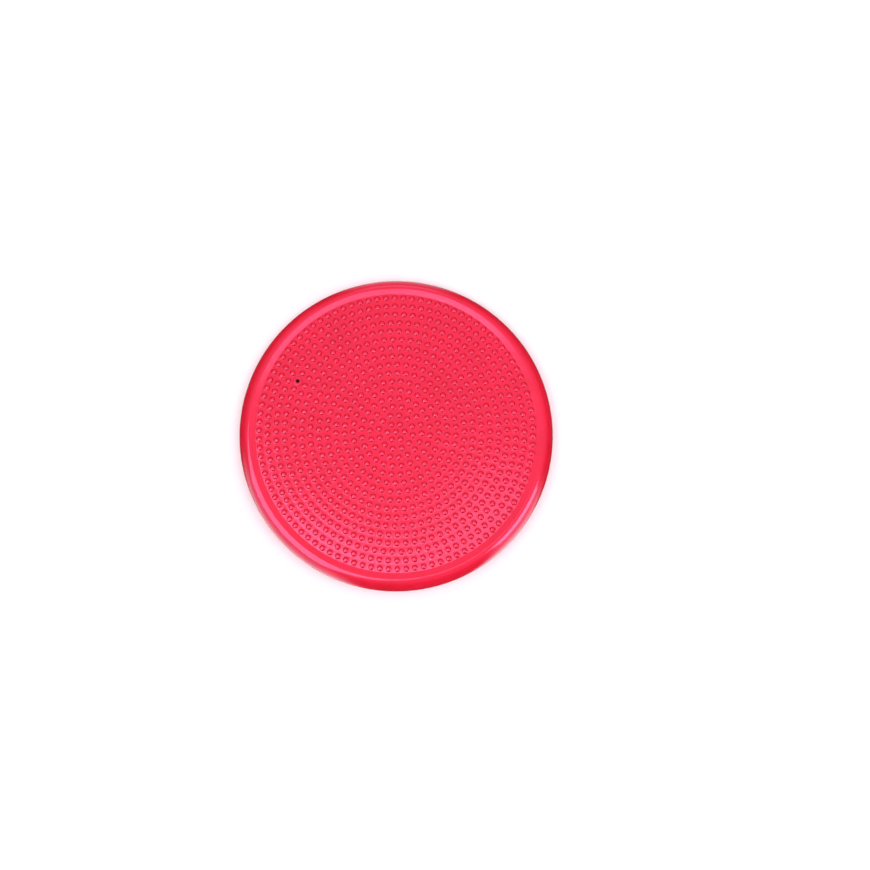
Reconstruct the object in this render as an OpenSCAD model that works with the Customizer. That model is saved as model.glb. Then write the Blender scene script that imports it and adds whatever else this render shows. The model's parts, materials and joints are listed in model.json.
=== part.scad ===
// Inflatable wobble cushion: a round, air-filled disc of soft PVC with a nubbed
// face on each side, a smooth round rim between them and a self-sealing needle
// valve in the upper face.
//
// Frame: millimetres. The origin is on the floor under the middle of the disc,
// and +Z runs up through both faces. The valve lies to the back left (-X, +Y).
//
// The disc is one moulded skin. It is drawn as the four zones that move against
// each other when somebody sits or stands on it, each a ring or a disc that
// slides past the next like a piston:
//   lower_face   middle of the underside, flat where it rests on the floor
//   lower_flank  outer part of the underside, which flexes as the disc rocks
//   rim          rounded outer wall, from the lower valley to the upper valley
//   upper_face   nubbed face that is sat or stood on
// On both faces the solid's outer surface runs through the tips of the nubs.

/* [Cushion] */
// Outer diameter at the widest line of the rim
cushion_d = 330; // [326:1:380]
// Height from the lower nub tips to the upper nub tips, at the middle
cushion_h = 60; // [58:1:66]
// Thickness of the moulded skin
wall_t = 3.6; // [2.6:0.1:4.4]

/* [Faces] */
// Diameter of the valley in which each face meets the rim
face_d = 296; // [295:1:300]
// Height of that valley above or below the middle of the rim
valley_h = 18.5; // [17:0.5:19.5]
// Height of the nubs that cover both faces
nub_h = 2.5; // [1.5:0.1:3]
// Diameter of the outer edge of the nubs
nub_zone_d = 294; // [280:1:294]
// Diameter of the flat part of the underside
contact_d = 90; // [60:1:120]
// Diameter of the circle where the lower face ends and the flank begins
flex_d = 247; // [220:1:250]

/* [Rim] */
// Rise of the rim from the valley out to its crest
crest_rise = 1; // [0.3:0.1:2.5]
// Distance of the crest inside the widest line
crest_inset = 11; // [10:0.5:12]

/* [Valve] */
// Distance of the valve from the middle of the cushion
valve_reach = 117; // [100:1:125]
// Direction of the valve, counted from +X towards +Y
valve_angle = 152; // [0:1:359]
// Diameter of the housing's round head, which shows between the nubs
head_d = 10; // [9:0.5:12]
// Height of the head above the skin between the nubs
head_h = 1.6; // [1:0.1:2.4]
// Diameter of the flange bonded to the inside of the skin
flange_d = 18; // [15:0.5:20]
// Outer diameter of the barrel that holds the core
barrel_d = 9; // [8.5:0.1:9.5]
// Depth of the barrel's end below the skin's outer surface
barrel_depth = 12.5; // [11:0.5:13]
// Diameter of the self-sealing rubber core
core_d = 5.5; // [5:0.1:6]
// Diameter of the mouth in the head
mouth_d = 4; // [3:0.1:4.4]
// Diameter of the needle channel with a needle in it
needle_d = 2.1; // [1.8:0.1:2.6]

/* [Hidden] */
$fn = 180;

gap = 0.5;                 // clearance between one zone and the next
steps = 12;                // straight pieces in each curved outline
mid_z = cushion_h / 2;     // height of the rim's widest line
cushion_r = cushion_d / 2;
face_r = face_d / 2;
zone_r = nub_zone_d / 2;
contact_r = contact_d / 2;
flex_r = flex_d / 2;
crest_r = cushion_r - crest_inset;
crest_h = valley_h + crest_rise;
rise = cushion_h / 2 - nub_h - valley_h;  // how far each face bulges above its valley

pvc_red = "#e3234b";
housing_red = "#d01c3f";
core_black = "#2a1418";

// Height of the upper skin between the nubs, at distance r from the middle
function top_z(r) = mid_z + valley_h + rise * (1 - pow(r / face_r, 2));

// Height of the lower skin between the nubs: flat in the middle, then curving up
function bottom_z(r) = nub_h + rise * max(0, (r * r - contact_r * contact_r)
                                             / (face_r * face_r - contact_r * contact_r));

// Radii spread evenly from a to b
function radii(a, b) = [for (i = [0:steps]) a + (b - a) * i / steps];

// Points along the upper skin, raised by lift, over the radii listed
function top_line(rs, lift) = [for (r = rs) [r, top_z(r) + lift]];

// Points along the lower skin, raised by lift, over the radii listed
function bottom_line(rs, lift) = [for (r = rs) [r, bottom_z(r) + lift]];

function reversed(list) = [for (i = [len(list) - 1:-1:0]) list[i]];

module lower_face() {
    edge = flex_r - gap / 2;
    nubs = concat([[0, 0]], bottom_line(radii(contact_r, edge), -nub_h));
    inner = concat([[0, nub_h + wall_t]], bottom_line(radii(contact_r, edge), wall_t));
    color(pvc_red) rotate_extrude() polygon(concat(nubs, reversed(inner)));
}

module lower_flank() {
    start = flex_r + gap / 2;
    edge = face_r - gap / 2;
    nubs = bottom_line(radii(start, zone_r), -nub_h);
    inner = bottom_line(radii(start, edge), wall_t);
    color(pvc_red) rotate_extrude()
        polygon(concat(nubs, [[edge, bottom_z(edge)]], reversed(inner)));
}

// Upper half of the rim's wall, t inside its outer surface: a low cone from the
// valley up to the crest, then a quarter of an ellipse down to the widest line
function rim_line(t) = concat([[face_r + gap / 2, valley_h - t]],
    [for (i = [0:steps]) let (a = 90 * i / steps) [
        crest_r + (crest_inset - t) * sin(a), (crest_h - t) * cos(a)]]);

// The same line carried on past the widest line to the lower valley
function wall_line(t) = let (upper = rim_line(t), n = len(upper))
    concat(upper, [for (i = [n - 2:-1:0]) [upper[i][0], -upper[i][1]]]);

module rim() {
    color(pvc_red) translate([0, 0, mid_z]) rotate_extrude()
        polygon(concat(wall_line(0), reversed(wall_line(wall_t))));
}

// Moves to the valve's place: +Z is square to the skin and 0 is its outer surface
valve_slope = atan(2 * rise * valve_reach / (face_r * face_r));
module at_valve()
    rotate([0, 0, valve_angle]) translate([valve_reach, 0, top_z(valve_reach)])
        rotate([0, valve_slope, 0]) children();

module upper_face() {
    edge = face_r - gap / 2;
    clearing_r = head_d / 2 + 1.5;
    nubs = top_line(radii(0, zone_r), nub_h);
    inner = top_line(radii(0, edge), -wall_t);
    color(pvc_red) difference() {
        rotate_extrude() polygon(concat(nubs, [[edge, top_z(edge)]], reversed(inner)));
        at_valve() translate([0, 0, -2 * wall_t]) cylinder(h = 4 * wall_t, d = head_d);
        at_valve() cylinder(h = 2 * nub_h, r = clearing_r);
    }
}

core_top = -1.5;                          // underside of the head's web
channel_mouth = 1;                        // depth of the core's countersink
module valve_housing() {
    flange_t = 1.6;
    round_t = head_h / 2;
    color(housing_red) at_valve() rotate_extrude() polygon([
        [mouth_d / 2, core_top], [mouth_d / 2, head_h - round_t / 2],
        [mouth_d / 2 + round_t / 2, head_h], [head_d / 2 - round_t, head_h],
        [head_d / 2 - round_t / 3, head_h - round_t / 3], [head_d / 2, head_h - round_t],
        [head_d / 2, -wall_t], [flange_d / 2, -wall_t - 0.2],
        [flange_d / 2, -wall_t - flange_t], [barrel_d / 2, -wall_t - flange_t],
        [barrel_d / 2, -barrel_depth], [core_d / 2, -barrel_depth], [core_d / 2, core_top]]);
}

module valve_core() {
    color(core_black) at_valve() rotate_extrude() polygon([
        [needle_d / 2, -barrel_depth], [core_d / 2, -barrel_depth], [core_d / 2, core_top],
        [mouth_d / 2, core_top], [needle_d / 2, core_top - channel_mouth]]);
}

lower_face();
lower_flank();
rim();
upper_face();
valve_housing();
valve_core();
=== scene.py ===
"""Looks of the inflatable wobble cushion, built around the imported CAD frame.

The skin is drawn as five closed shells, one for each part of the cushion that moves
or that a mould makes: upper face, upper half of the rim, lower half of the rim, lower
flank and lower face. Each shell is a surface of revolution whose two faces carry rings
of nubs. Shapes are worked out in millimetres and put into the meshes in metres.
"""
import json
import math

import bmesh
import bpy
import numpy as np
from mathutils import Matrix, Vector


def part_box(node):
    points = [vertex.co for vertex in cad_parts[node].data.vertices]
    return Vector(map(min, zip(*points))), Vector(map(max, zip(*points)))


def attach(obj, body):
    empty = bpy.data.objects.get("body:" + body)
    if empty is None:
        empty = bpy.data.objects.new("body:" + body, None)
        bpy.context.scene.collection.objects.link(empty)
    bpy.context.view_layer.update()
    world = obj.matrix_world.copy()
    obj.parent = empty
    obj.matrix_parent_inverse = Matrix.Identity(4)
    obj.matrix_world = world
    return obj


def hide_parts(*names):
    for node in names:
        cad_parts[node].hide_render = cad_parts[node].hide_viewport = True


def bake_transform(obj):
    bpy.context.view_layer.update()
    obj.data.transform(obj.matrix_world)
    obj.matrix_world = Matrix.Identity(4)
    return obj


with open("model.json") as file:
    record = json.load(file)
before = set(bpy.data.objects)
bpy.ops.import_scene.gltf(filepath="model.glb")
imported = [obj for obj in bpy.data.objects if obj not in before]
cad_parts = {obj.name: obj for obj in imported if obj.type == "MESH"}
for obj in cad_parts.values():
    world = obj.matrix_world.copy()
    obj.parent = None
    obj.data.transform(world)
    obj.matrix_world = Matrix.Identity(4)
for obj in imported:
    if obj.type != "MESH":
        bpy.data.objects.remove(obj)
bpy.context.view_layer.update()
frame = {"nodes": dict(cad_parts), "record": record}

MM = 0.001
TURN = 2 * math.pi

# --- sizes, in millimetres ------------------------------------------------------------


def node_size(node):
    """Lowest and highest corner of a CAD node's box, in millimetres."""
    low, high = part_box(node)
    return np.array(low) / MM, np.array(high) / MM


rim_low, rim_high = node_size("rim")
GAP = 0.5                                   # clearance between one CAD zone and the next
WALL = 3.6                                  # thickness of the moulded skin
NUB_H = 2.5                                 # height of the nubs over the skin
MID_Z = (rim_low[2] + rim_high[2]) / 2      # height of the rim's widest line
RIM_R = rim_high[0]                         # radius of that line
CREST_H = rim_high[2] - MID_Z               # height of the crest over it
CREST_INSET = 11.0                          # how far the crest lies inside that line
CREST_RISE = 1.0                            # rise of the rim from the valley to the crest
CREST_R = RIM_R - CREST_INSET
FACE_R = node_size("upper_face")[1][0] + GAP / 2    # valley between face and rim
FLEX_R = node_size("lower_face")[1][0] + GAP / 2    # where the underside flexes
VALLEY_H = CREST_H - CREST_RISE             # height of the valley over the widest line
CONTACT_R = 45.0                            # flat middle of the underside
RISE = MID_Z - NUB_H - VALLEY_H             # how far each face bulges over its valley
AROUND = 288                                # straight pieces in each full circle
END_TAPER = 0.4                             # how far a shell's inner edge keeps back
BEAD = 0.25                                 # how far the mould's parting line stands out
BEAD_HALF = 0.8                             # half the width of that line


def above(r):
    """Upper skin between the nubs: a shallow parabola over the valley's height."""
    return MID_Z + VALLEY_H + RISE * (1 - (r / FACE_R) ** 2)


def below(r):
    """Lower skin between the nubs: flat out to CONTACT_R, then a parabola upwards."""
    bulge = (r**2 - CONTACT_R**2) / (FACE_R**2 - CONTACT_R**2)
    return NUB_H + RISE * np.maximum(0.0, bulge)


# --- meshes ---------------------------------------------------------------------------


class Shell:
    """Gathers blocks of points and faces, then makes one welded, smooth piece of them."""

    def __init__(self):
        self.points, self.heights, self.faces, self.count = [], [], [], 0

    def add_points(self, points, height=0.0):
        """Adds an (..., 3) block and returns the numbers of its points, in its shape."""
        flat = points.reshape(-1, 3)
        numbers = self.count + np.arange(len(flat)).reshape(points.shape[:-1])
        self.points.append(flat)
        self.heights.append(np.broadcast_to(height, points.shape[:-1]).reshape(-1))
        self.count += len(flat)
        return numbers

    def add_faces(self, corners, flip=False):
        """Adds an (..., 3) or (..., 4) block of corner numbers as faces."""
        flat = corners.reshape(-1, corners.shape[-1])
        self.faces.extend((flat[:, ::-1] if flip else flat).tolist())

    def add_grid(self, rows, flip=False):
        """Faces between the rows of a grid whose columns close into a ring."""
        a, b = rows[:-1], rows[1:]
        a_next, b_next = np.roll(a, -1, axis=-1), np.roll(b, -1, axis=-1)
        self.add_faces(np.stack([a, a_next, b_next, b], axis=-1), flip)

    def add_zip(self, inner, inner_angles, outer, outer_angles, flip=False):
        """Triangles between two rings of different counts, in order of angle.

        Both rings' points are sorted together by angle. Each of them advances its own
        ring by one step and closes a triangle with the other ring's latest point.
        """
        i_order, o_order = (np.argsort(a % TURN) for a in (inner_angles, outer_angles))
        inner, outer = inner[i_order], outer[o_order]
        angles = np.concatenate([inner_angles[i_order], outer_angles[o_order]]) % TURN
        is_inner = np.arange(len(angles)) < len(inner)
        order = np.argsort(angles, kind="stable")
        is_inner = is_inner[order]
        i_now = (np.cumsum(is_inner) - 1) % len(inner)
        o_now = (np.cumsum(~is_inner) - 1) % len(outer)
        on_inner = np.stack([inner[i_now - 1], outer[o_now], inner[i_now]], axis=-1)
        on_outer = np.stack([outer[o_now - 1], outer[o_now], inner[i_now]], axis=-1)
        self.add_faces(np.where(is_inner[:, None], on_inner, on_outer), flip)

    def piece(self, name, material):
        """Makes the object, welds points that coincide and shades it smooth."""
        mesh = bpy.data.meshes.new(name)
        mesh.from_pydata(np.concatenate(self.points) * MM, [], self.faces)
        height = mesh.attributes.new("nub_height", "FLOAT", "POINT")
        height.data.foreach_set("value", np.concatenate(self.heights).astype(np.float32))
        work = bmesh.new()
        work.from_mesh(mesh)
        bmesh.ops.remove_doubles(work, verts=work.verts, dist=1e-6)
        work.to_mesh(mesh)
        work.free()
        mesh.shade_smooth()
        mesh.materials.append(material)
        made = bpy.data.objects.new(name, mesh)
        bpy.context.scene.collection.objects.link(made)
        return made


def polar(r, angle, z):
    """Points from distance, direction and height, as an (..., 3) block."""
    r, angle, z = np.broadcast_arrays(r, angle, z)
    return np.stack([r * np.cos(angle), r * np.sin(angle), z], axis=-1)


def circle_angles(start=0.0, count=AROUND):
    """Directions spread evenly round a full circle."""
    return start + TURN * np.arange(count) / count


# Twelve places around a nub. Its cell is a square with two points between each two
# corners; u points away from the cushion's middle and v along the ring.
CELL_U = np.array([3, 1, -1, -3, -3, -3, -3, -1, 1, 3, 3, 3]) / 3
CELL_V = np.array([3, 3, 3, 3, 1, -1, -3, -3, -3, -3, -1, 1]) / 3
TURN_12 = np.radians(45 + 30 * np.arange(12))


def nub_rows(foot_r, height):
    """Radius and height of the rows of one nub: fillet, steep side, rounded top."""
    radius = np.array([1.05, 0.97, 0.86, 0.72, 0.38]) * foot_r
    return radius, np.array([0.0, 0.015, 0.26, 0.78, 0.98]) * height


class NubField:
    """Rings of nubs at an even pitch, as many in each ring as fit at that spacing.

    Ring j lies pitch * j from the middle and holds 6.1 * j nubs, rounded. Each ring starts
    a golden angle after the one inside it, so that no line of nubs runs outwards. The
    first nub of the anchor ring stands in the direction anchor_angle.
    """

    golden = math.pi * (3 - math.sqrt(5))
    nubs_per_ring = 6.1

    def __init__(self, pitch, foot_r, height, anchor_ring, anchor_angle):
        self.pitch, self.foot_r, self.height = pitch, foot_r, height
        self.anchor_ring, self.anchor_angle = anchor_ring, anchor_angle

    def centres(self, ring):
        """Directions of the nubs in a ring."""
        if ring == 0:
            return np.array([self.anchor_angle])
        start = self.anchor_angle + (ring - self.anchor_ring) * self.golden
        return circle_angles(start, round(self.nubs_per_ring * ring))


SLIT = 0.12      # half the width of the strip that joins one ring's cells to the next


def add_field(shell, field, rings, inner_r, outer_r, skin, side, open_cell=None):
    """Covers the skin between two radii with cells, one around each nub.

    side is +1 where the face looks up and -1 where it looks down; 0 leaves the nubs out,
    for the inside of the wall. open_cell is a ring whose first cell keeps a round hole.
    Returns the rings of points along the inner edge, the outer edge and the hole.
    """
    flip = side < 0
    edges, hole, previous = [], None, None
    outline = circle_angles()
    if inner_r > 0:
        edge = shell.add_points(polar(inner_r, outline, skin(inner_r)))
        edges.append(edge)
        previous = (edge, outline)
    for ring in rings:
        centre_r, centres = ring * field.pitch, field.centres(ring)
        half = math.pi / len(centres)
        in_r = max(inner_r, centre_r - field.pitch / 2) + SLIT
        out_r = min(outer_r, centre_r + field.pitch / 2) - SLIT
        if ring == 0:
            around = TURN_12 + centres[0]
            cell_r, cell_a = np.full((1, 12), out_r), around[None, :]
        else:
            cell_r = np.where(CELL_U > 0, centre_r + CELL_U * (out_r - centre_r),
                              centre_r + CELL_U * (centre_r - in_r))[None, :]
            cell_a = centres[:, None] + CELL_V * half
        rows = [shell.add_points(polar(cell_r, cell_a, skin(cell_r)))]
        radii, heights = nub_rows(field.foot_r, field.height)
        kept = np.ones(len(centres), bool)
        if ring == open_cell:
            kept[0] = False
            local = HOLE_R * np.exp(1j * TURN_12) + centre_r
            hole_r, hole_a = np.abs(local), np.angle(local) + centres[0]
            hole = shell.add_points(polar(hole_r, hole_a, skin(hole_r)))
            shell.add_grid(np.stack([rows[0][0], hole]), flip)
        for radius, height in zip(radii, heights) if side else ():
            local = radius * np.exp(1j * TURN_12) + centre_r
            row_r, row_a = np.abs(local), np.angle(local) + centres[:, None]
            row_z = skin(row_r) + side * height
            rows.append(shell.add_points(polar(row_r, row_a, row_z), height / field.height))
        top = skin(centre_r) + side * field.height
        poles = shell.add_points(polar(centre_r, centres, top), float(bool(side)))
        if side:
            shell.add_grid(np.stack(rows)[:, kept], flip)
        last = rows[-1][kept]
        tip = np.repeat(poles[kept][:, None], 12, axis=1)
        shell.add_faces(np.stack([last, np.roll(last, -1, axis=1), tip], axis=-1), flip)
        if ring:
            inner_side = (rows[0][:, [6, 5, 4]].ravel(),
                          (centres[:, None] + np.array([-1, -1 / 3, 1 / 3]) * half).ravel())
            outer_side = (rows[0][:, [9, 10, 11]].ravel(), inner_side[1])
            if previous:
                shell.add_zip(*previous, *inner_side, flip)
        else:
            outer_side = (rows[0][0], around)
        previous = outer_side
    edge = shell.add_points(polar(outer_r, outline, skin(outer_r)))
    shell.add_zip(*previous, edge, outline, flip)
    edges.append(edge)
    return edges, hole


def add_wall(shell, field, rings, inner_r, outer_r, skin, side, open_cell=None):
    """A nubbed skin with its thickness: outside, inside, and the edges between them."""
    outer_edges, outer_hole = add_field(shell, field, rings, inner_r, outer_r, skin, side,
                                        open_cell)
    inside = Shell()
    inside_in = inner_r + END_TAPER if inner_r else 0.0
    inner_edges, inner_hole = add_field(
        inside, field, rings, inside_in, outer_r - END_TAPER,
        lambda r: skin(r) - side * WALL, 0, open_cell)
    # the inside looks the other way, so its faces turn with the side
    offset = shell.count
    shell.points.extend(inside.points)
    shell.heights.extend(inside.heights)
    shell.count += inside.count
    turned = [[offset + corner for corner in (face[::-1] if side > 0 else face)]
              for face in inside.faces]
    shell.faces.extend(turned)
    shell.add_grid(np.stack([outer_edges[-1], inner_edges[-1] + offset]), side > 0)
    if inner_r:
        shell.add_grid(np.stack([outer_edges[0], inner_edges[0] + offset]), side < 0)
    if outer_hole is not None:
        shell.add_grid(np.stack([outer_hole, inner_hole + offset]), side < 0)


def rim_outline(inset, bead):
    """Radius and height of the rim's upper half, over its widest line.

    A low cone goes from the valley to the crest, and a quarter of an ellipse from there to
    the widest line, where a bead stands out as the mould's parting line. inset moves the
    outline inwards for the inside of the wall.
    """
    u = np.array([0.0, 0.05, 0.14, 0.3, 0.5, 0.7, 0.86, 0.95])
    rise_r = FACE_R + u * (CREST_R - FACE_R)
    rise_z = VALLEY_H + (CREST_H - VALLEY_H) * u - inset
    low = np.array([1.4, 1.0, 0.75, 0.5, 0.25, 0.0])     # rows near the widest line, in mm
    a = np.concatenate([np.linspace(0, math.pi / 2, 25)[:-2],
                        np.arccos(low / (CREST_H - inset))])
    side_r = CREST_R + (RIM_R - CREST_R - inset) * np.sin(a)
    side_z = (CREST_H - inset) * np.cos(a)
    side_r = side_r + bead * (1 - np.clip(side_z / BEAD_HALF, 0, 1) ** 2)
    return np.concatenate([rise_r, side_r]), np.concatenate([rise_z, side_z])


def add_rim_half(shell, side):
    """One half of the rim with its thickness; side is +1 for the upper half."""
    outline = circle_angles()[None, :]
    r, z = rim_outline(0.0, BEAD)
    outside = shell.add_points(polar(r[:, None], outline, MID_Z + side * z[:, None]))
    r, z = rim_outline(WALL, 0.0)
    # the inside keeps back from both edges, over its first and its last three rows
    taper = END_TAPER * np.clip(1 - np.arange(len(r)) / 3, 0, 1)
    r, z = r + taper, z + taper[::-1]
    inside = shell.add_points(polar(r[:, None], outline, MID_Z + side * z[:, None]))
    flip = side > 0
    shell.add_grid(outside, flip)
    shell.add_grid(inside, not flip)
    shell.add_grid(np.stack([outside[0], inside[0]]), not flip)
    shell.add_grid(np.stack([outside[-1], inside[-1]]), flip)


def blend_by_radius(piece):
    """Lays the piece's points out along X by their radius, bakes its transform, then puts the
    points back.
    """
    points = piece.data.vertices
    placed = np.empty(3 * len(points), np.float32)
    points.foreach_get("co", placed)
    unrolled = np.zeros((len(points), 3), np.float32)
    unrolled[:, 0] = np.hypot(placed[0::3], placed[1::3])
    points.foreach_set("co", unrolled.ravel())
    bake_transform(piece)
    points.foreach_set("co", placed)
    piece.data.update()


# --- materials ------------------------------------------------------------------------


def linear(hex_colour):
    """A colour's sRGB hex turned to the linear values that shaders use."""
    parts = [int(hex_colour[i:i + 2], 16) / 255 for i in (1, 3, 5)]
    return tuple(c / 12.92 if c <= 0.04045 else ((c + 0.055) / 1.055) ** 2.4
                 for c in parts) + (1.0,)


def add_node(tree, kind, inputs=(), **settings):
    """Adds a node, sets its own settings, and fills its sockets with values or links."""
    node = tree.nodes.new(kind)
    for name, value in settings.items():
        setattr(node, name, value)
    for socket, value in dict(inputs).items():
        if isinstance(value, bpy.types.NodeSocket):
            tree.links.new(value, node.inputs[socket])
        else:
            node.inputs[socket].default_value = value
    return node


def new_material(name):
    """An empty node material, its tree and its output node."""
    material = bpy.data.materials.new(name)
    material.use_nodes = True
    tree = material.node_tree
    tree.nodes.clear()
    return material, tree, tree.nodes.new("ShaderNodeOutputMaterial")


def per_metre(size_mm):
    """Noise scale whose features are about size_mm across."""
    return 1 / (size_mm * MM)


def moulded_pvc(name, base, thin, painted_shade_colour, tip, roughness, tip_highlight_mix=0.5):
    """Moulded soft PVC, glossy: an even colour with a fine mottle in its gloss.

    The red wanders a little over 30 mm, where the melt was thicker or thinner. Painted shade
    makes it a shade deeper on the sides and around the feet of the nubs, and a painted
    highlight makes it lighter on their tips. The gloss wanders over 9 mm, and a grain of 0.8
    mm, coarser than the real mould's so that it shows, breaks up the reflections.
    """
    material, tree, out = new_material(name)
    place = add_node(tree, "ShaderNodeTexCoord").outputs["Object"]
    cloud = add_node(tree, "ShaderNodeTexNoise", {
        "Vector": place, "Scale": per_metre(30), "Detail": 3.0}).outputs["Fac"]
    colour = add_node(tree, "ShaderNodeValToRGB", {"Fac": cloud})
    colour.color_ramp.elements[0].position = 0.3
    colour.color_ramp.elements[0].color = linear(thin)
    colour.color_ramp.elements[1].position = 0.6
    colour.color_ramp.elements[1].color = linear(base)
    height = add_node(tree, "ShaderNodeAttribute", attribute_name="nub_height").outputs["Fac"]
    # painted shade: the red turns deeper on the nubs' steep sides and around their feet
    foot_shade_ramp = add_node(tree, "ShaderNodeMapRange", {
        "Value": height, "From Min": 0.5, "From Max": 0.95, "To Min": 0.9, "To Max": 0.0})
    painted_shade_mask = add_node(tree, "ShaderNodeMath", {
        0: foot_shade_ramp.outputs["Result"],
        1: add_node(tree, "ShaderNodeMath", {0: height, 1: 0.004},
                    operation="GREATER_THAN").outputs[0]}, operation="MULTIPLY")
    shaded_colour = add_node(tree, "ShaderNodeMix", {
        "Factor": painted_shade_mask.outputs[0], 6: colour.outputs["Color"], 7: linear(painted_shade_colour)},
        data_type="RGBA")
    # painted highlight: the nubs' tips turn lighter, as where light catches them
    painted_tip_highlight = add_node(tree, "ShaderNodeMapRange", {
        "Value": height, "From Min": 0.9, "From Max": 1.0, "To Min": 0.0,
        "To Max": tip_highlight_mix})
    tip_highlighted_colour = add_node(tree, "ShaderNodeMix", {
        "Factor": painted_tip_highlight.outputs["Result"], 6: shaded_colour.outputs[2], 7: linear(tip)},
        data_type="RGBA")
    mottle = add_node(tree, "ShaderNodeTexNoise", {
        "Vector": place, "Scale": per_metre(9), "Detail": 4.0}).outputs["Fac"]
    gloss = add_node(tree, "ShaderNodeMapRange", {
        "Value": mottle, "From Min": 0.3, "From Max": 0.7, "To Min": roughness - 0.02,
        "To Max": roughness + 0.03})
    grain = add_node(tree, "ShaderNodeTexNoise", {
        "Vector": place, "Scale": per_metre(0.8), "Detail": 2.0}).outputs["Fac"]
    bump = add_node(tree, "ShaderNodeBump", {
        "Height": grain, "Strength": 0.1, "Distance": 0.03 * MM})
    shader = add_node(tree, "ShaderNodeBsdfPrincipled", {
        "Base Color": tip_highlighted_colour.outputs[2], "Roughness": gloss.outputs["Result"],
        "IOR": 1.53, "Specular IOR Level": 0.6,
        "Specular Tint": (1.0, 0.56, 1.0, 1.0),      # highlights lean towards lilac
        "Normal": bump.outputs["Normal"]})
    tree.links.new(shader.outputs["BSDF"], out.inputs["Surface"])
    return material


def black_rubber():
    """Moulded black rubber: nearly matt, with a dry bloom in small patches."""
    material, tree, out = new_material("black_rubber_moulded")
    place = add_node(tree, "ShaderNodeTexCoord").outputs["Object"]
    bloom = add_node(tree, "ShaderNodeTexNoise", {
        "Vector": place, "Scale": per_metre(0.7), "Detail": 3.0}).outputs["Fac"]
    colour = add_node(tree, "ShaderNodeValToRGB", {"Fac": bloom})
    colour.color_ramp.elements[0].color = linear("#16070a")
    colour.color_ramp.elements[1].color = linear("#341318")
    bump = add_node(tree, "ShaderNodeBump", {
        "Height": bloom, "Strength": 0.3, "Distance": 0.05 * MM})
    shader = add_node(tree, "ShaderNodeBsdfPrincipled", {
        "Base Color": colour.outputs["Color"], "Roughness": 0.7, "IOR": 1.52,
        "Normal": bump.outputs["Normal"]})
    tree.links.new(shader.outputs["BSDF"], out.inputs["Surface"])
    return material


def matt_board():
    """Matt white studio board, with a faint unevenness over 200 mm."""
    material, tree, out = new_material("white_board_matt")
    place = add_node(tree, "ShaderNodeTexCoord").outputs["Object"]
    cloud = add_node(tree, "ShaderNodeTexNoise", {
        "Vector": place, "Scale": per_metre(200), "Detail": 2.0}).outputs["Fac"]
    colour = add_node(tree, "ShaderNodeValToRGB", {"Fac": cloud})
    colour.color_ramp.elements[0].color = linear("#f4f4f4")
    colour.color_ramp.elements[1].color = linear("#f8f8f8")
    shader = add_node(tree, "ShaderNodeBsdfPrincipled", {
        "Base Color": colour.outputs["Color"], "Roughness": 0.9,
        "Specular IOR Level": 0.1})
    tree.links.new(shader.outputs["BSDF"], out.inputs["Surface"])
    return material


# --- camera, light and floor ----------------------------------------------------------

CAMERA_ELEVATION = 82.0     # degrees over the floor, looking from the front
FRAME_WIDTH = 0.918         # width of the view at the cushion, in metres
CAMERA_DISTANCE = 5.0
SENSOR = 36.0
AIM = np.array([0.041, 0.0007, MID_Z * MM])    # the cushion lies left of the middle
LAMP_AIM = np.array([0.0, 0.0, 0.03])          # middle of the cushion
LAMP_TINT = "#fbf3ff"       # cool white

# Azimuth and elevation in degrees, distance, width and height in metres, brightness in
# the gloss, and how many times that brightness it gives as light on the shapes.
SOFTBOXES = {
    "overhead_left": (240, 78.8, 7.0, 2.5, 1.0, 4.0, 4.8),
    "overhead_right": (326, 79.2, 7.0, 2.4, 1.2, 2.8, 4.5),
    "side_left": (214, 39, 3.0, 3.1, 4.4, 4.5, 0.25),
    "side_right": (331, 18, 3.0, 1.6, 2.2, 6.6, 0.35),
    "side_back": (89, 26, 3.0, 1.3, 1.7, 1.3, 0.3),
}
CEILING_GLOW = 1.0          # brightness of the room overhead
WALL_GLOW = 0.3             # at the horizon
UNDER_GLOW = 0.05           # and under it
LOW_GLOW = [(214, 32, 1.2), (331, 15, 1.4), (90, 12, 0.7)]  # azimuth, half width, brightness
LOBE_EDGE = 8               # degrees over which such a patch of light fades, each way


def direction(azimuth, elevation):
    """Unit vector towards an azimuth (from +X towards +Y) and an elevation, in degrees."""
    a, e = math.radians(azimuth), math.radians(elevation)
    return np.array([math.cos(e) * math.cos(a), math.cos(e) * math.sin(a), math.sin(e)])


def aimed(made, place, target):
    """Puts a camera or lamp at place, looking at target."""
    made.location = Vector(place)
    made.rotation_euler = (Vector(target) - Vector(place)).to_track_quat("-Z", "Y").to_euler()
    bpy.context.scene.collection.objects.link(made)


def add_camera():
    """A long lens over the front of the cushion."""
    data = bpy.data.cameras.new("camera")
    data.sensor_width = SENSOR
    data.lens = SENSOR * CAMERA_DISTANCE / FRAME_WIDTH
    data.clip_end = 100.0
    camera = bpy.data.objects.new("camera", data)
    aimed(camera, AIM + CAMERA_DISTANCE * direction(270, CAMERA_ELEVATION), AIM)
    bpy.context.scene.camera = camera


def add_softbox(name, azimuth, elevation, distance, width, height, radiance, fill):
    """A soft lamp: radiance is its brightness in the gloss, and fill scales its light.

    It is made of two lamps in one place, one for each kind of ray, so that gloss and
    shading can be set apart.
    """
    for use, share in (("gloss", 1.0), ("light", fill)):
        data = bpy.data.lights.new(f"{name}_{use}", "AREA")
        data.shape = "RECTANGLE"
        data.size, data.size_y = width, height
        data.energy = share * radiance * math.pi * width * height
        data.color = linear(LAMP_TINT)[:3]
        lamp = bpy.data.objects.new(data.name, data)
        lamp.visible_camera = False
        lamp.visible_glossy = use == "gloss"
        lamp.visible_diffuse = use == "light"
        aimed(lamp, LAMP_AIM + distance * direction(azimuth, elevation), LAMP_AIM)


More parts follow.
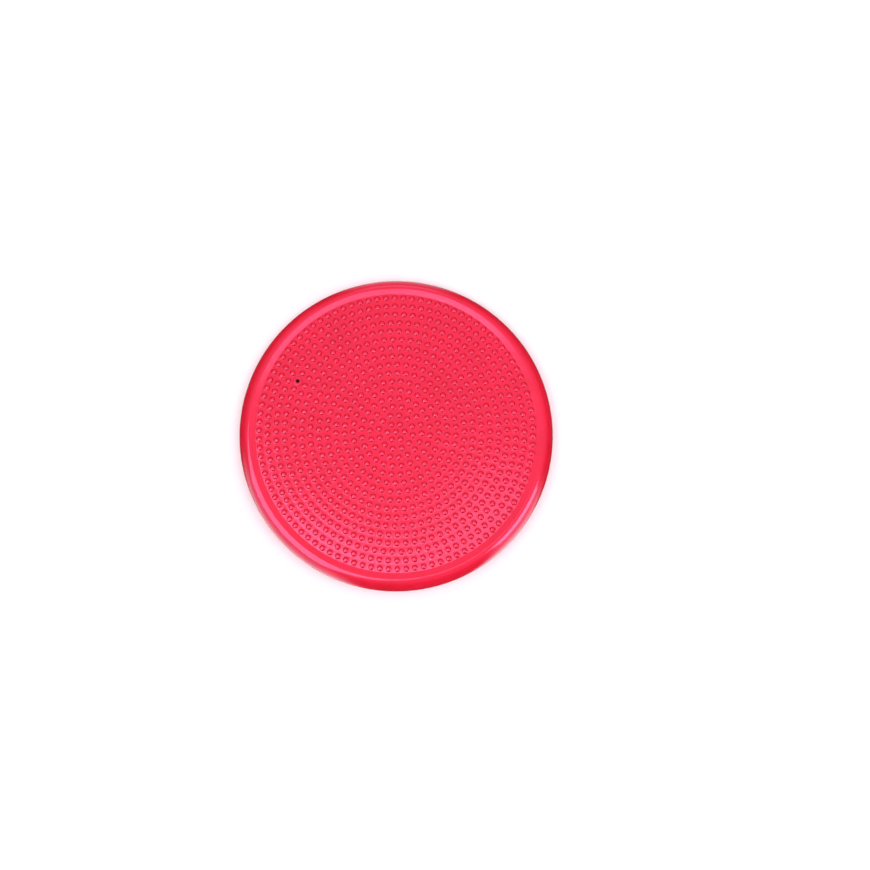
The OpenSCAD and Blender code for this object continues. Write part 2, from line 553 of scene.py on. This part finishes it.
def room_light(world):
    """A soft room: brighter overhead than at the horizon, and dark under it.

    Under the horizon a patch of light lies below each side lamp. The floor hides that
    part of the room from everything but the rim's gloss.
    """
    tree = world.node_tree
    ray = add_node(tree, "ShaderNodeTexCoord").outputs["Generated"]
    flat = add_node(tree, "ShaderNodeVectorMath", {
        0: add_node(tree, "ShaderNodeVectorMath", {0: ray, 1: (1.0, 1.0, 0.0)},
                    operation="MULTIPLY").outputs[0]}, operation="NORMALIZE").outputs[0]
    glow = 0.0
    for azimuth, half_width, strength in LOW_GLOW:
        across = add_node(tree, "ShaderNodeVectorMath", {
            0: flat, 1: tuple(direction(azimuth, 0))}, operation="DOT_PRODUCT")
        lobe = add_node(tree, "ShaderNodeMapRange", {
            "Value": across.outputs["Value"],
            "From Min": math.cos(math.radians(half_width + LOBE_EDGE)),
            "From Max": math.cos(math.radians(half_width - LOBE_EDGE)),
            "To Min": 0.0, "To Max": strength}, interpolation_type="SMOOTHSTEP")
        glow = add_node(tree, "ShaderNodeMath", {0: glow, 1: lobe.outputs["Result"]},
                        operation="ADD").outputs[0]
    height = add_node(tree, "ShaderNodeSeparateXYZ", {"Vector": ray}).outputs["Z"]
    over = add_node(tree, "ShaderNodeMapRange", {
        "Value": height, "From Min": -0.12, "From Max": 0.02}).outputs["Result"]
    wall = add_node(tree, "ShaderNodeMapRange", {
        "Value": height, "From Min": 0.0, "From Max": 0.9, "To Min": WALL_GLOW,
        "To Max": CEILING_GLOW})
    low = add_node(tree, "ShaderNodeMath", {0: glow, 1: UNDER_GLOW}, operation="ADD")
    strength = add_node(tree, "ShaderNodeMix", {
        "Factor": over, 2: low.outputs[0], 3: wall.outputs["Result"]}, data_type="FLOAT")
    background = tree.nodes["Background"]
    colour = add_node(tree, "ShaderNodeMix", {
        "Factor": over, 6: linear(LAMP_TINT), 7: linear("#ffffff")}, data_type="RGBA")
    tree.links.new(colour.outputs[2], background.inputs["Color"])
    tree.links.new(strength.outputs[0], background.inputs["Strength"])


def add_surroundings():
    """Lamps, room light and a white floor, none of them part of the cushion."""
    for name, settings in SOFTBOXES.items():
        add_softbox(name, *settings)
    world = bpy.data.worlds.new("white_room")
    world.use_nodes = True
    room_light(world)
    bpy.context.scene.world = world
    bpy.context.scene.view_settings.view_transform = "Standard"

    mesh = bpy.data.meshes.new("floor")
    half_width = 30.0
    corners = half_width * np.array([[-1, -1, 0], [1, -1, 0], [1, 1, 0], [-1, 1, 0]])
    mesh.from_pydata(corners, [], [(0, 1, 2, 3)])
    mesh.materials.append(matt_board())
    floor = bpy.data.objects.new("floor", mesh)
    bpy.context.scene.collection.objects.link(floor)
    floor.visible_glossy = False       # so that the outer rim keeps its deep red


# --- the valve ------------------------------------------------------------------------

port = next(m for m in frame["record"]["mounts"] if m["name"] == "needle_port")
PORT_DEPTH = 7.5                   # middle of the needle port under the skin
VALVE_AXIS = np.array(port["axis"])
VALVE_PLACE = np.array(port["pos_m"]) / MM + PORT_DEPTH * VALVE_AXIS
VALVE_ANGLE = math.atan2(VALVE_PLACE[1], VALVE_PLACE[0])
HOLE_R = 4.2                       # hole in the skin, under the valve's head


def valve_housing_piece(material):
    """The valve's housing: a closed profile turned about the valve's own axis.

    From the foot of the core's bore the profile runs up the barrel, round the flange
    under the skin and the head over it, and down the mouth to the top of the core.
    Heights are counted from the skin's outer surface.
    """
    head_r, head_h, mouth_r, core_top = 5.0, 1.6, 2.0, -1.5
    barrel_r, core_r, barrel_end = 4.15, 2.78, -12.5
    flange_r, flange_low, flange_high, bevel = 9.0, -5.2, -3.8, 0.3
    head_low = -0.1                       # the head's foot is sunk a little into the skin
    corner_r, lip_r = 1.0, 0.5
    corner = np.radians(np.linspace(0, 90, 6))
    lip = np.radians(np.linspace(90, 180, 5))
    profile = np.concatenate([
        [[core_r, barrel_end], [barrel_r, barrel_end], [barrel_r, flange_low],
         [flange_r - bevel, flange_low], [flange_r, flange_low + bevel],
         [flange_r, flange_high - bevel], [flange_r - bevel, flange_high],
         [barrel_r, flange_high + 0.1], [barrel_r, head_low], [head_r, head_low]],
        np.stack([head_r - corner_r + corner_r * np.cos(corner),
                  head_h - corner_r + corner_r * np.sin(corner)], axis=1),
        np.stack([mouth_r + lip_r + lip_r * np.cos(lip),
                  head_h - lip_r + lip_r * np.sin(lip)], axis=1),
        [[mouth_r, core_top], [core_r, core_top], [core_r, core_top - 0.2]]])
    turn = circle_angles(count=48)
    ring = polar(profile[:, :1], turn[None, :], profile[:, 1:])
    across = np.array([-math.sin(VALVE_ANGLE), math.cos(VALVE_ANGLE), 0.0])
    outwards = np.cross(across, VALVE_AXIS)
    shell = Shell()
    placed = ring @ np.stack([outwards, across, VALVE_AXIS]) + VALVE_PLACE
    grid = shell.add_points(placed)
    shell.add_grid(np.concatenate([grid, grid[:1]]))
    return shell.piece("valve_housing_moulding", material)


# --- the cushion ----------------------------------------------------------------------

add_camera()
add_surroundings()

# the darker red is painted shade on the nubs' sides and feet, the lighter one a painted
# highlight on their tips
pvc = moulded_pvc("soft_pvc_moulded_gloss", base="#dc112f", thin="#d51029", painted_shade_colour="#bb0a23",
                  tip="#e43652", roughness=0.15, tip_highlight_mix=0.25)
valve_pvc = moulded_pvc("valve_pvc_moulded_gloss", base="#d61633", thin="#d2142f",
                        painted_shade_colour="#c80f2b", tip="#dc2040", roughness=0.12)
rubber = black_rubber()

upper_nubs = NubField(pitch=9.0, foot_r=3.2, height=NUB_H, anchor_ring=13,
                      anchor_angle=VALVE_ANGLE)
lower_nubs = NubField(pitch=13.0, foot_r=4.3, height=NUB_H, anchor_ring=0,
                      anchor_angle=0.0)
VALVE_RING = upper_nubs.anchor_ring     # the valve stands in place of this ring's first nub

shell = Shell()
add_wall(shell, upper_nubs, range(0, 17), 0.0, FACE_R, above, 1, open_cell=VALVE_RING)
upper_face_skin = shell.piece("upper_face_skin", pvc)

shell = Shell()
add_rim_half(shell, 1)
upper_rim_skin = shell.piece("upper_rim_skin", pvc)

shell = Shell()
add_rim_half(shell, -1)
lower_rim_skin = shell.piece("lower_rim_skin", pvc)

shell = Shell()
add_wall(shell, lower_nubs, range(10, 12), FLEX_R, FACE_R, below, -1)
lower_flank_skin = shell.piece("lower_flank_skin", pvc)

shell = Shell()
add_wall(shell, lower_nubs, range(0, 10), 0.0, FLEX_R, below, -1)
lower_face_skin = shell.piece("lower_face_skin", pvc)

valve_housing_moulding = valve_housing_piece(valve_pvc)

# The valve's housing follows the upper face. The skins go through blend_by_radius and follow
# no body.
blend_by_radius(upper_face_skin)
blend_by_radius(upper_rim_skin)
blend_by_radius(lower_rim_skin)
blend_by_radius(lower_flank_skin)
blend_by_radius(lower_face_skin)
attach(valve_housing_moulding, "upper_face")

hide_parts("upper_face")
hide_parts("rim")
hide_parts("rim")
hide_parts("lower_flank")
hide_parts("lower_face")
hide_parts("valve_housing")

for material_slot in frame["nodes"]["valve_core"].material_slots:
    material_slot.material = rubber
